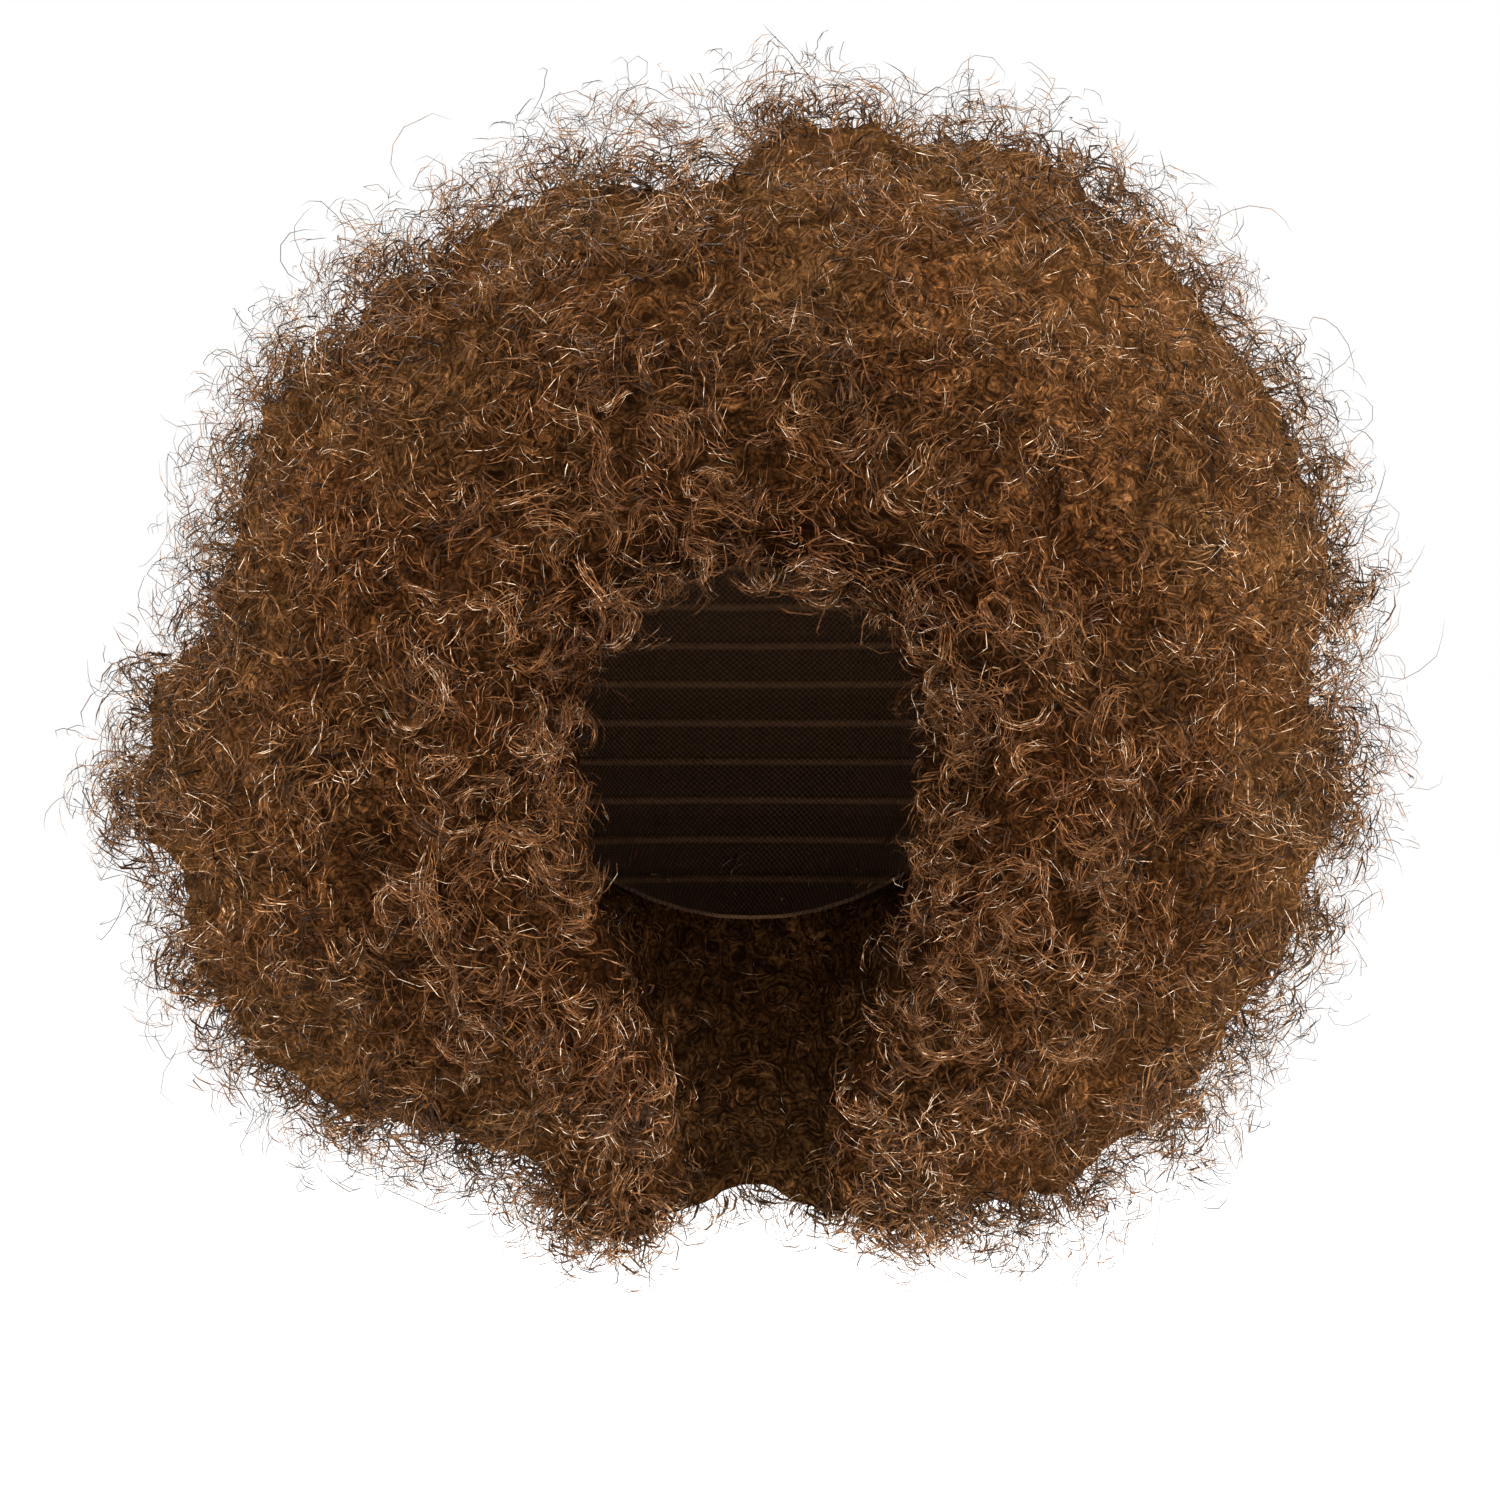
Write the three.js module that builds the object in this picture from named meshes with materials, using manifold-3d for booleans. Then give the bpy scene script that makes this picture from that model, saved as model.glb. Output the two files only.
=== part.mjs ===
// Afro wig: a stretch cap, and the teased hair that is sewn to it in six zones around the head.
// Millimetres, +Z up, the face towards -Y. Left and right are the wearer's, so the left is +X.
// The origin is the inside of the cap at the crown, where the wig sits on the head.
import * as THREE from "three";
import { mergeVertices } from "three/addons/utils/BufferGeometryUtils.js";
import Module from "manifold-3d";

const wasm = await Module();
wasm.setup();

// The head that the wig fits: an egg of a skull, with the jaw and the neck under it
const HEAD_WIDTH = 152;
const HEAD_LENGTH = 192;
const SKULL_HEIGHT = 184;
const JAW_WIDTH = 120;
const JAW_LENGTH = 132;
const JAW_HEIGHT = 134;
const JAW_FORWARD = 28; // jaw's middle, ahead of the crown
const CHIN_DROP = 216; // crown down to the chin
const NECK_WIDTH = 90;
const NECK_LENGTH = 104;
const NECK_BEHIND = 12; // neck's axis, behind the crown

// The cap, whose rim is level across the head and slopes from the forehead to the nape
const CAP_WALL = 2;
const RIM_FRONT_DROP = 50;
const RIM_NAPE_DROP = 165;

// The gaps between sewn pieces
const CAP_TO_HAIR = 0.3;
const ZONE_GAP = 0.4;

// Details smaller than these are smoothed out of the joined locks and of the cut zones
const LOCK_CRUMB = 1.8;
const CRUMB = 0.1;

// How far the hair reaches from the origin
const HAIR_RISE = 99;
const HAIR_BELOW_CHIN = 52;
const HAIR_DROP = CHIN_DROP + HAIR_BELOW_CHIN;
const HAIR_RIGHT = 207;
const HAIR_LEFT = 198;
const HAIR_FRONT = 146;
const HAIR_BACK = 197;

// Level sections of the hair. A level is a share of HAIR_RISE above the crown or of HAIR_DROP below it,
// and the other columns are shares of the four reaches.
const SECTIONS = [
  { level: -1.0, right: 0.08, left: 0.12, front: 0.04, back: 0.1 },
  { level: -0.985, right: 0.27, left: 0.43, front: 0.14, back: 0.36 },
  { level: -0.935, right: 0.5, left: 0.57, front: 0.25, back: 0.54 },
  { level: -0.86, right: 0.69, left: 0.7, front: 0.39, back: 0.68 },
  { level: -0.77, right: 0.81, left: 0.82, front: 0.54, back: 0.79 },
  { level: -0.66, right: 0.88, left: 0.9, front: 0.7, back: 0.88 },
  { level: -0.54, right: 0.95, left: 0.94, front: 0.83, back: 0.95 },
  { level: -0.42, right: 1.0, left: 1.0, front: 0.93, back: 0.99 },
  { level: -0.3, right: 0.93, left: 0.98, front: 0.98, back: 1.0 },
  { level: -0.19, right: 0.9, left: 0.97, front: 1.0, back: 0.98 },
  { level: -0.07, right: 0.81, left: 0.91, front: 0.97, back: 0.94 },
  { level: 0.1, right: 0.75, left: 0.85, front: 0.9, back: 0.88 },
  { level: 0.36, right: 0.65, left: 0.77, front: 0.8, back: 0.78 },
  { level: 0.58, right: 0.56, left: 0.67, front: 0.68, back: 0.67 },
  { level: 0.76, right: 0.43, left: 0.58, front: 0.54, back: 0.54 },
  { level: 0.89, right: 0.26, left: 0.46, front: 0.38, back: 0.4 },
  { level: 0.97, right: 0.07, left: 0.31, front: 0.18, back: 0.22 },
  { level: 1.0, right: 0.03, left: 0.08, front: 0.05, back: 0.05 },
];
const SECTION_POINTS = 30;
const SECTION_POWER = 2.25; // 2 is an ellipse, and more is squarer

// The rounded locks that make the outline lumpy: their size, spacing and how far they stand proud
const LOCK_RADIUS = 41;
const LOCK_THICKNESS = 40;
const LOCK_PITCH = 60;
const LOCK_PROUD = 8;
const LOCK_SPREAD = 0.16; // how much the locks differ in size, either way
const SPREAD_TURN = 2.4; // from one lock to the next, in radians of the wave that the sizes follow
const LOCK_DETAIL = 1;

// The few locks that stand out of the round. Shares of the reaches: across is the wearer's left,
// behind is towards the back, and size is a share of STRAY_RADIUS.
const STRAY_RADIUS = 24;
const STRAY_LOCKS = [
  { across: 0.06, behind: 0.02, level: 0.9, size: 0.9 },
  { across: 0.34, behind: 0.04, level: 0.84, size: 0.8 },
  { across: -0.44, behind: -0.1, level: 0.6, size: 0.9 },
  { across: -0.9, behind: 0.0, level: -0.47, size: 1.0 },
  { across: 0.91, behind: 0.02, level: -0.37, size: 1.0 },
  { across: 0.46, behind: 0.1, level: -0.945, size: 0.75 },
  { across: -0.3, behind: 0.14, level: -0.955, size: 0.8 },
];

// The edge of the hair around the face. Down is a share of the drop from the hairline to the chin, and
// the other columns are shares of FACE_HALF_WIDTH.
const HAIRLINE_COVER = 3; // how far the hair hangs over the cap's front rim
const FACE_HALF_WIDTH = 61;
const FACE_EDGE = [
  { down: 0.0, right: 0.0, left: 0.0 },
  { down: 0.04, right: 0.5, left: 0.5 },
  { down: 0.12, right: 0.82, left: 0.8 },
  { down: 0.22, right: 0.97, left: 0.96 },
  { down: 0.36, right: 1.0, left: 1.0 },
  { down: 0.56, right: 0.96, left: 0.96 },
  { down: 0.76, right: 0.78, left: 0.84 },
  { down: 0.93, right: 0.62, left: 0.74 },
  { down: 1.15, right: 0.58, left: 0.7 },
];
const FACE_EDGE_POINTS = 13;
const FACE_FLARE = 0.42; // how much wider the opening is at the front of the hair than at the face
const FACE_RINGS = 5;
const FACE_START = 30; // where the opening starts inside the head, ahead of the crown, and its width there
const FACE_START_SHARE = 0.6;
const CUT_PAST = 50; // how far the cutting shapes run past the hair

// Rows of small locks around the opening. Out is a share of the way from the face to the front of the
// hair, down is how low the row goes as a share of the drop to the chin, and into is the share of each
// lock's radius that hangs into the opening.
const EDGE_ROWS = [
  { out: 0.16, radius: 13, pitch: 18, down: 0.55, into: 0.35 },
  { out: 0.5, radius: 25, pitch: 33, down: 1.2, into: 0.2 },
];

// The zones: the crown is a cone from the middle of the skull, and the rest are wedges about its axis
const CROWN_HALF_ANGLE = 37;
const FRONT_HALF_ANGLE = 36;
const BACK_HALF_ANGLE = 52;
const FRONT_ZONE_DROP = 68; // under the crown, as is the next
const NAPE_ZONE_DROP = 118;
const CONE_SIDES = 24;
const SKULL_SIDES = 28;
const NECK_SIDES = 20;

const FACE_MIDDLE = -(RIM_FRONT_DROP + CHIN_DROP) / 2;
const HAIR_REACH = 2 * Math.max(HAIR_RISE + HAIR_DROP, HAIR_LEFT, HAIR_RIGHT, HAIR_FRONT, HAIR_BACK);
const hairMaterial = new THREE.MeshStandardMaterial({ color: 0x5c3a1f, roughness: 0.8, metalness: 0 });
const capMaterial = new THREE.MeshStandardMaterial({ color: 0x2b1c12, roughness: 0.9, metalness: 0 });

// Geometry to solid and back

function solid(geometry) {
  const bare = geometry.index ? geometry.toNonIndexed() : geometry.clone();
  for (const name of Object.keys(bare.attributes)) {
    if (name !== "position") bare.deleteAttribute(name);
  }
  const merged = mergeVertices(bare, 1e-4);
  return new wasm.Manifold(
    new wasm.Mesh({
      numProp: 3,
      vertProperties: merged.attributes.position.array,
      triVerts: new Uint32Array(merged.index.array),
    }),
  );
}

// The largest body, without the crumbs that the cuts leave
function mainBody(shape) {
  const bodies = shape.asOriginal().simplify(CRUMB).decompose();
  return bodies.reduce((best, body) => (body.volume() > best.volume() ? body : best));
}

function namedMesh(name, shape, material) {
  const { vertProperties, triVerts, numProp } = mainBody(shape).getMesh();
  const geometry = new THREE.BufferGeometry();
  geometry.setAttribute("position", new THREE.InterleavedBufferAttribute(
    new THREE.InterleavedBuffer(vertProperties, numProp), 3, 0));
  geometry.setIndex(new THREE.BufferAttribute(triVerts, 1));
  const flat = geometry.toNonIndexed();
  flat.computeVertexNormals();
  const mesh = new THREE.Mesh(flat, material);
  mesh.name = name;
  return mesh;
}

// A closed skin through rings of points, all with the same count, ended by a fan at each end
function loft(rings) {
  const count = rings[0].length;
  const middle = (ring) => ring.reduce((sum, p) => sum.add(p), new THREE.Vector3()).divideScalar(count);
  const points = [...rings.flat(), middle(rings[0]), middle(rings[rings.length - 1])];
  const first = points.length - 2;
  const last = points.length - 1;
  const faces = [];
  for (let k = 0; k < count; k += 1) {
    const next = (k + 1) % count;
    faces.push(first, next, k);
    for (let r = 0; r < rings.length - 1; r += 1) {
      const low = r * count;
      const high = low + count;
      faces.push(low + k, low + next, high + next, low + k, high + next, high + k);
    }
    const top = (rings.length - 1) * count;
    faces.push(last, top + k, top + next);
  }
  const geometry = new THREE.BufferGeometry().setFromPoints(points);
  geometry.setIndex(faces);
  return solid(geometry);
}

// The head, grown by a clearance

function egg(width, length, height, at, clearance, sides = SKULL_SIDES) {
  const ball = new THREE.SphereGeometry(1, sides, sides / 2).rotateX(Math.PI / 2);
  ball.scale(width / 2 + clearance, length / 2 + clearance, height / 2 + clearance);
  return solid(ball.translate(at.x, at.y, at.z));
}

function skull(clearance) {
  return egg(HEAD_WIDTH, HEAD_LENGTH, SKULL_HEIGHT, new THREE.Vector3(0, 0, -SKULL_HEIGHT / 2), clearance);
}

function head(clearance) {
  const jawAt = new THREE.Vector3(0, -JAW_FORWARD, JAW_HEIGHT / 2 - CHIN_DROP);
  const neckTop = -SKULL_HEIGHT / 2;
  const neckBottom = -HAIR_DROP - CUT_PAST;
  const neck = new THREE.CylinderGeometry(1, 1, neckTop - neckBottom, NECK_SIDES).rotateX(Math.PI / 2);
  neck.scale(NECK_WIDTH / 2 + clearance, NECK_LENGTH / 2 + clearance, 1);
  neck.translate(0, NECK_BEHIND, (neckTop + neckBottom) / 2);
  return skull(clearance)
    .add(egg(JAW_WIDTH, JAW_LENGTH, JAW_HEIGHT, jawAt, clearance, NECK_SIDES))
    .add(solid(neck));
}

// The cap: a wall over the skull, cut off at its sloping rim

function skullReach(drop) {
  const share = (drop - SKULL_HEIGHT / 2) / (SKULL_HEIGHT / 2);
  return (HEAD_LENGTH / 2) * Math.sqrt(1 - share * share);
}

function underRim() {
  const front = new THREE.Vector2(-skullReach(RIM_FRONT_DROP), -RIM_FRONT_DROP);
  const nape = new THREE.Vector2(skullReach(RIM_NAPE_DROP), -RIM_NAPE_DROP);
  const slope = Math.atan2(nape.y - front.y, nape.x - front.x);
  const block = new THREE.BoxGeometry(HAIR_REACH, HAIR_REACH, HAIR_REACH).translate(0, 0, -HAIR_REACH / 2);
  const middle = front.add(nape).divideScalar(2);
  return solid(block.rotateX(slope).translate(0, middle.x, middle.y));
}

function cap() {
  return skull(CAP_WALL).subtract(skull(0)).subtract(underRim());
}

// The outline of the hair

function levelHeight(level) {
  return level * (level > 0 ? HAIR_RISE : HAIR_DROP);
}

function levelOf(height) {
  return height / (height > 0 ? HAIR_RISE : HAIR_DROP);
}

function sectionAt(level) {
  const above = SECTIONS.findIndex((row) => row.level >= level);
  const high = SECTIONS[above < 0 ? SECTIONS.length - 1 : above];
  const low = SECTIONS[Math.max(SECTIONS.indexOf(high) - 1, 0)];
  const span = high.level - low.level;
  const share = span > 0 ? THREE.MathUtils.clamp((level - low.level) / span, 0, 1) : 0;
  const between = (column) => THREE.MathUtils.lerp(low[column], high[column], share);
  return {
    height: levelHeight(level),
    right: between("right") * HAIR_RIGHT,
    left: between("left") * HAIR_LEFT,
    front: between("front") * HAIR_FRONT,
    back: between("back") * HAIR_BACK,
  };
}

function outlinePoint(section, turn) {
  const rounded = (value) => Math.sign(value) * Math.abs(value) ** (2 / SECTION_POWER);
  const across = rounded(Math.cos(turn));
  const along = rounded(Math.sin(turn));
  return new THREE.Vector3(
    across * (across > 0 ? section.left : section.right),
    along * (along > 0 ? section.back : section.front),
    section.height,
  );
}

function hairBacking() {
  const turns = Array.from({ length: SECTION_POINTS }, (_, k) => (2 * Math.PI * k) / SECTION_POINTS);
  return loft(SECTIONS.map((row) => turns.map((turn) => outlinePoint(sectionAt(row.level), turn))));
}

// One rounded lock: a flat egg that faces away from the middle of the skull

function lock(at, radius, thickness) {
  const outward = at.clone().sub(new THREE.Vector3(0, 0, -SKULL_HEIGHT / 2)).normalize();
  const ball = new THREE.IcosahedronGeometry(1, LOCK_DETAIL).scale(radius, radius, thickness / 2);
  ball.applyQuaternion(new THREE.Quaternion().setFromUnitVectors(new THREE.Vector3(0, 0, 1), outward));
  return solid(ball.translate(at.x, at.y, at.z));
}

function sizeVariation(number) {
  return 1 + LOCK_SPREAD * Math.sin(number * SPREAD_TURN);
}

// Rows of locks at even steps down the outline, each row turned half a step from the one above
function rowLocks() {
  const reach = (section) => (section.left + section.right + section.front + section.back) / 4;
  const sections = SECTIONS.map((row) => sectionAt(row.level));
  const profile = new THREE.Path(sections.map((one) => new THREE.Vector2(reach(one), one.height)));
  const rows = Math.round(profile.getLength() / LOCK_PITCH);
  const made = [];
  profile.getSpacedPoints(rows).forEach((step, r) => {
    const section = sectionAt(levelOf(step.y));
    const count = Math.max(1, Math.round((2 * Math.PI * step.x) / LOCK_PITCH));
    for (let k = 0; k < count; k += 1) {
      const size = sizeVariation(made.length);
      const at = outlinePoint(section, (2 * Math.PI * (k + (r % 2) / 2)) / count);
      const sunk = (LOCK_THICKNESS / 2) * size - LOCK_PROUD;
      const inward = at.clone().setZ(at.z + SKULL_HEIGHT / 2).setLength(sunk);
      made.push(lock(at.sub(inward), LOCK_RADIUS * size, LOCK_THICKNESS * size));
    }
  });
  return made;
}

function strayLocks() {
  return STRAY_LOCKS.map((row) => {
    const at = new THREE.Vector3(
      row.across * (row.across > 0 ? HAIR_LEFT : HAIR_RIGHT),
      row.behind * (row.behind > 0 ? HAIR_BACK : HAIR_FRONT),
      levelHeight(row.level),
    );
    return lock(at, STRAY_RADIUS * row.size, 2 * STRAY_RADIUS * row.size);
  });
}

// The opening around the face, a funnel whose lip is a quarter round

function faceEdge() {
  const top = RIM_FRONT_DROP + HAIRLINE_COVER;
  const side = (column, sign) => {
    const rows = FACE_EDGE.map(
      (row) => new THREE.Vector2(sign * row[column] * FACE_HALF_WIDTH, -top - row.down * (CHIN_DROP - top)),
    );
    rows.push(new THREE.Vector2(rows[rows.length - 1].x, -HAIR_DROP - CUT_PAST));
    return new THREE.SplineCurve(rows).getSpacedPoints(FACE_EDGE_POINTS);
  };
  return [...side("right", -1), ...side("left", 1).slice(1).reverse()];
}

function faceWidening(ahead) {
  const face = HEAD_LENGTH / 2;
  if (ahead < face) return THREE.MathUtils.mapLinear(ahead, FACE_START, face, FACE_START_SHARE, 1);
  const out = Math.min((ahead - face) / (HAIR_FRONT + LOCK_PROUD - face), 1);
  return 1 + FACE_FLARE * (1 - Math.sqrt(1 - out * out));
}

// A point of the face edge moved to a distance ahead of the crown. Above the middle of the face the
// opening also grows upwards.
function onFaceLip(point, ahead) {
  const wider = faceWidening(ahead);
  const height = point.y > FACE_MIDDLE ? FACE_MIDDLE + (point.y - FACE_MIDDLE) * wider : point.y;
  return new THREE.Vector3(point.x * wider, -ahead, height);
}

function faceFunnel() {
  const edge = faceEdge();
  const aheads = [FACE_START];
  for (let k = 0; k <= FACE_RINGS; k += 1) {
    const out = Math.sin((Math.PI / 2) * (k / FACE_RINGS));
    aheads.push(THREE.MathUtils.lerp(HEAD_LENGTH / 2, HAIR_FRONT + LOCK_PROUD, out));
  }
  aheads.push(HAIR_FRONT + CUT_PAST);
  return loft(aheads.map((ahead) => edge.map((p) => onFaceLip(p, ahead))));
}

// The upper part of the face edge, from the wearer's right over the forehead to the left
function upperFaceEdge(lowest) {
  const kept = faceEdge().filter((p) => p.y > lowest);
  const split = kept.findIndex((p) => p.x > 0);
  return new THREE.SplineCurve([...kept.slice(split), ...kept.slice(0, split)]);
}

function edgeLocks() {
  return EDGE_ROWS.flatMap((row) => {
    const curve = upperFaceEdge(-RIM_FRONT_DROP - row.down * (CHIN_DROP - RIM_FRONT_DROP));
    const steps = Math.round(curve.getLength() / row.pitch);
    return curve.getSpacedPoints(steps).map((p, k) => {
      const radius = row.radius * sizeVariation(k);
      const ahead = THREE.MathUtils.lerp(HEAD_LENGTH / 2, HAIR_FRONT, row.out);
      const at = onFaceLip(p, (ahead * sectionAt(levelOf(p.y)).front) / HAIR_FRONT);
      const away = new THREE.Vector3(at.x, 0, Math.max(at.z - FACE_MIDDLE, 0));
      return lock(at.add(away.setLength(radius * (1 - row.into))), radius, 2 * radius);
    });
  });
}

// The zones of sewn hair. Each cutter can be grown by the gap that it leaves to the rest.

function wedge(towards, halfAngle, low, high, grow) {
  const half = THREE.MathUtils.degToRad(halfAngle);
  const apex = new THREE.Vector2(-grow / Math.sin(half), 0);
  const corner = (angle) =>
    new THREE.Vector2(HAIR_REACH * Math.cos(angle), HAIR_REACH * Math.sin(angle)).add(apex);
  const outline = new THREE.Shape([apex, corner(-half), corner(half)]);
  const block = new THREE.ExtrudeGeometry(outline, { depth: high - low + 2 * grow, bevelEnabled: false });
  block.translate(0, 0, low - grow);
  return solid(block.rotateZ(THREE.MathUtils.degToRad(towards)));
}

function crownCone(grow) {
  const half = THREE.MathUtils.degToRad(CROWN_HALF_ANGLE);
  const apex = -SKULL_HEIGHT / 2 - grow / Math.sin(half);
  const cone = new THREE.ConeGeometry(HAIR_REACH * Math.tan(half), HAIR_REACH, CONE_SIDES);
  return solid(cone.rotateX(-Math.PI / 2).translate(0, 0, apex + HAIR_REACH / 2));
}

function sideBlock(sign) {
  const block = new THREE.BoxGeometry(HAIR_REACH, 2 * HAIR_REACH, 2 * HAIR_REACH);
  return solid(block.translate((sign * (HAIR_REACH + ZONE_GAP)) / 2, 0, 0));
}

const TO_FRONT = -90;
const TO_BACK = 90;
const ZONES = [
  { name: "hair_crown", cutter: crownCone },
  { name: "hair_front", cutter: (g) => wedge(TO_FRONT, FRONT_HALF_ANGLE, -FRONT_ZONE_DROP, HAIR_REACH, g) },
  { name: "hair_back", cutter: (g) => wedge(TO_BACK, BACK_HALF_ANGLE, -NAPE_ZONE_DROP, HAIR_REACH, g) },
  { name: "hair_nape", cutter: (g) => wedge(TO_BACK, BACK_HALF_ANGLE, -HAIR_REACH, -NAPE_ZONE_DROP, g) },
  { name: "hair_right_side", cutter: () => sideBlock(-1) },
  { name: "hair_left_side", cutter: () => sideBlock(1) },
];

function hair() {
  const locks = [...rowLocks(), ...strayLocks()];
  const outside = wasm.Manifold.union([hairBacking(), ...locks]).subtract(faceFunnel());
  const joined = wasm.Manifold.union([outside, ...edgeLocks()]).asOriginal().simplify(LOCK_CRUMB);
  let rest = joined.subtract(head(CAP_WALL + CAP_TO_HAIR));
  const zones = new THREE.Group();
  for (const { name, cutter } of ZONES) {
    zones.add(namedMesh(name, rest.intersect(cutter(0)), hairMaterial));
    rest = rest.subtract(cutter(ZONE_GAP));
  }
  return zones;
}

const wig = new THREE.Group();
wig.add(namedMesh("cap", cap(), capMaterial));
wig.add(hair());

export default wig;
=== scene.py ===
"""Afro wig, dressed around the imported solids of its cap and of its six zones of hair.
Metres, +Z up, the face towards -Y. The origin is the inside of the cap at the crown."""

import math

import bmesh
import bpy
import numpy as np
from mathutils import Matrix, Vector, noise


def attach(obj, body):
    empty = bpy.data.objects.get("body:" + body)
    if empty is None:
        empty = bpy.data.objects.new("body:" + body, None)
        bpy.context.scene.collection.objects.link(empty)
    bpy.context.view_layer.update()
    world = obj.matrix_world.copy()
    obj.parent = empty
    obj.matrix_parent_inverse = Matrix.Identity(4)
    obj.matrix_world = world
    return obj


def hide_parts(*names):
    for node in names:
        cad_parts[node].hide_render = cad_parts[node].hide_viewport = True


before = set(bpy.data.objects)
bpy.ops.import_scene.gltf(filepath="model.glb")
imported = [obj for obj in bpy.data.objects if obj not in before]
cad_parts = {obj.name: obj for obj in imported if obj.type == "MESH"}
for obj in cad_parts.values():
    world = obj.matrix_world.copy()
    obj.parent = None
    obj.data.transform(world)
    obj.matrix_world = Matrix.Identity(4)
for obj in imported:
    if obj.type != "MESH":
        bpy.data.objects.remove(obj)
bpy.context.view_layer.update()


# The cap: a thin dark stretch knit, machine made in one piece. The hair is sewn to its outside in
# level rows, whose ridges show through on the inside.
def place(tree, kind, inputs=None, **settings):
    """A new node with its settings, and its inputs filled with values or with other nodes' outputs."""
    node = tree.nodes.new(kind)
    for name, value in settings.items():
        setattr(node, name, value)
    for name, value in (inputs or {}).items():
        if isinstance(value, bpy.types.NodeSocket):
            tree.links.new(value, node.inputs[name])
        else:
            node.inputs[name].default_value = value
    return node


def maths(tree, operation, first, second=0.0, third=0.0):
    inputs = {0: first, 1: second, 2: third}
    return place(tree, "ShaderNodeMath", inputs, operation=operation).outputs[0]


def spread(tree, value, low, high, to_low=0.0, to_high=1.0):
    """The value moved from one range to another, and held inside it."""
    inputs = {"Value": value, "From Min": low, "From Max": high, "To Min": to_low, "To Max": to_high}
    return place(tree, "ShaderNodeMapRange", inputs).outputs["Result"]


def shaded(name):
    material = bpy.data.materials.new(name)
    material.use_nodes = True
    return material, material.node_tree, material.node_tree.nodes["Principled BSDF"]


knit_pitch = 0.0019
sewn_row_pitch = 0.013
cap_reach = 0.080
cap_knit, tree, shader = shaded("cap knit")
spot = place(tree, "ShaderNodeTexCoord").outputs["Object"]
axes = place(tree, "ShaderNodeSeparateXYZ", {"Vector": spot}).outputs
turn = maths(tree, "ARCTAN2", axes["X"], axes["Y"])
wales = maths(tree, "SINE", maths(tree, "MULTIPLY", turn, 2 * math.pi * cap_reach / knit_pitch))
courses = maths(tree, "SINE", maths(tree, "MULTIPLY", axes["Z"], 2 * math.pi / knit_pitch))
rows = maths(tree, "SINE", maths(tree, "MULTIPLY", axes["Z"], 2 * math.pi / sewn_row_pitch))
ridges = spread(tree, rows, 0.75, 1.0)
loops = maths(tree, "MULTIPLY", wales, courses)
height = maths(tree, "MULTIPLY_ADD", loops, 0.4, ridges)
# Painted shade: the knit's colour follows its height, darker down in the hollows between its loops and sewn rows and
# lighter on their tops.
knit_colour = place(tree, "ShaderNodeMix", {"Factor": spread(tree, height, -0.4, 1.2)}, data_type="RGBA")
knit_colour.inputs[6].default_value = (0.028, 0.014, 0.007, 1)
knit_colour.inputs[7].default_value = (0.170, 0.086, 0.040, 1)
tree.links.new(knit_colour.outputs[2], shader.inputs["Base Color"])
shader.inputs["Roughness"].default_value = 0.8
shader.inputs["Specular IOR Level"].default_value = 0.15
bump = place(tree, "ShaderNodeBump", {"Height": height, "Distance": 0.0008, "Strength": 0.8})
tree.links.new(bump.outputs["Normal"], shader.inputs["Normal"])
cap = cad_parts["cap"]
cap.data.materials.clear()
cap.data.materials.append(cap_knit)


# The hair mass: the dense inside of the teased hair, where the curls are packed too close to be told apart. It is
# crimped modacrylic fibre, brushed out by hand, so its surface breaks up into round clumps with gaps between them,
# and its material paints the gaps dark as painted shade. It is open for the head as the sewn zones are.
hair_zones = ["hair_crown", "hair_front", "hair_back", "hair_nape", "hair_right_side", "hair_left_side"]
zone_swell = 0.0004  # closes the gaps between the zones
mass_voxel = 0.0054
outer_depth = 0.0135  # how deep the mass lies under the outline of the hair, and near the face
opening_depth = 0.005
hem_depth = 0.010
clump_size = 0.012
clump_height = 0.006
lobe_size = 0.032
lobe_height = 0.010
skull_half, skull_middle = (0.076, 0.096, 0.092), (0, 0, -0.092)
jaw_half, jaw_middle = (0.060, 0.066, 0.067), (0, -0.028, -0.149)
neck_half, neck_middle = (0.045, 0.052), (0, 0.012)
face_middle = -0.125


def beyond_egg(points, half, middle):
    """How far each point lies outside an egg, roughly and in metres."""
    near = (points - np.array(middle)) / np.array(half)
    length = np.linalg.norm(near, axis=1)
    return length * (length - 1) / np.maximum(np.linalg.norm(near / np.array(half), axis=1), 1e-9)


def beyond_head(points):
    beyond_neck = beyond_egg(points[:, :2], neck_half, neck_middle)
    beyond_neck[points[:, 2] > skull_middle[2]] = 1.0
    skull = beyond_egg(points, skull_half, skull_middle)
    return np.minimum(np.minimum(skull, beyond_egg(points, jaw_half, jaw_middle)), beyond_neck)


def smooth_step(low, high, value):
    share = np.clip((value - low) / (high - low), 0, 1)
    return share * share * (3 - 2 * share)


def by_the_face(points):
    """1 around the face opening, falling to 0 away from it."""
    out = np.hypot(points[:, 0], points[:, 2] - face_middle)
    return (1 - smooth_step(0.085, 0.14, out)) * (1 - smooth_step(-0.05, 0.0, points[:, 1]))


def clump_height_at(point):
    """0 in the gaps between the clumps and 1 on top of them, with smaller clumps on the large ones."""
    bent = Vector(point) + 0.006 * noise.noise_vector(Vector(point) / 0.03)
    wide = noise.voronoi(bent / clump_size)[0]
    small = noise.voronoi(bent / (0.45 * clump_size) + Vector((3, 1, 7)))[0]
    return 0.65 * min((wide[1] - wide[0]) / 0.6, 1) + 0.35 * min((small[1] - small[0]) / 0.6, 1)


def linked_object(name, mesh):
    piece = bpy.data.objects.new(name, mesh)
    bpy.context.scene.collection.objects.link(piece)
    return piece


def as_plain_mesh(piece, modifier):
    """The piece's mesh as its modifier leaves it, with the modifier gone."""
    made = bpy.data.meshes.new_from_object(piece.evaluated_get(bpy.context.evaluated_depsgraph_get()))
    piece.modifiers.remove(modifier)
    piece.data = made
    made.name = piece.name
    return made


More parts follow.
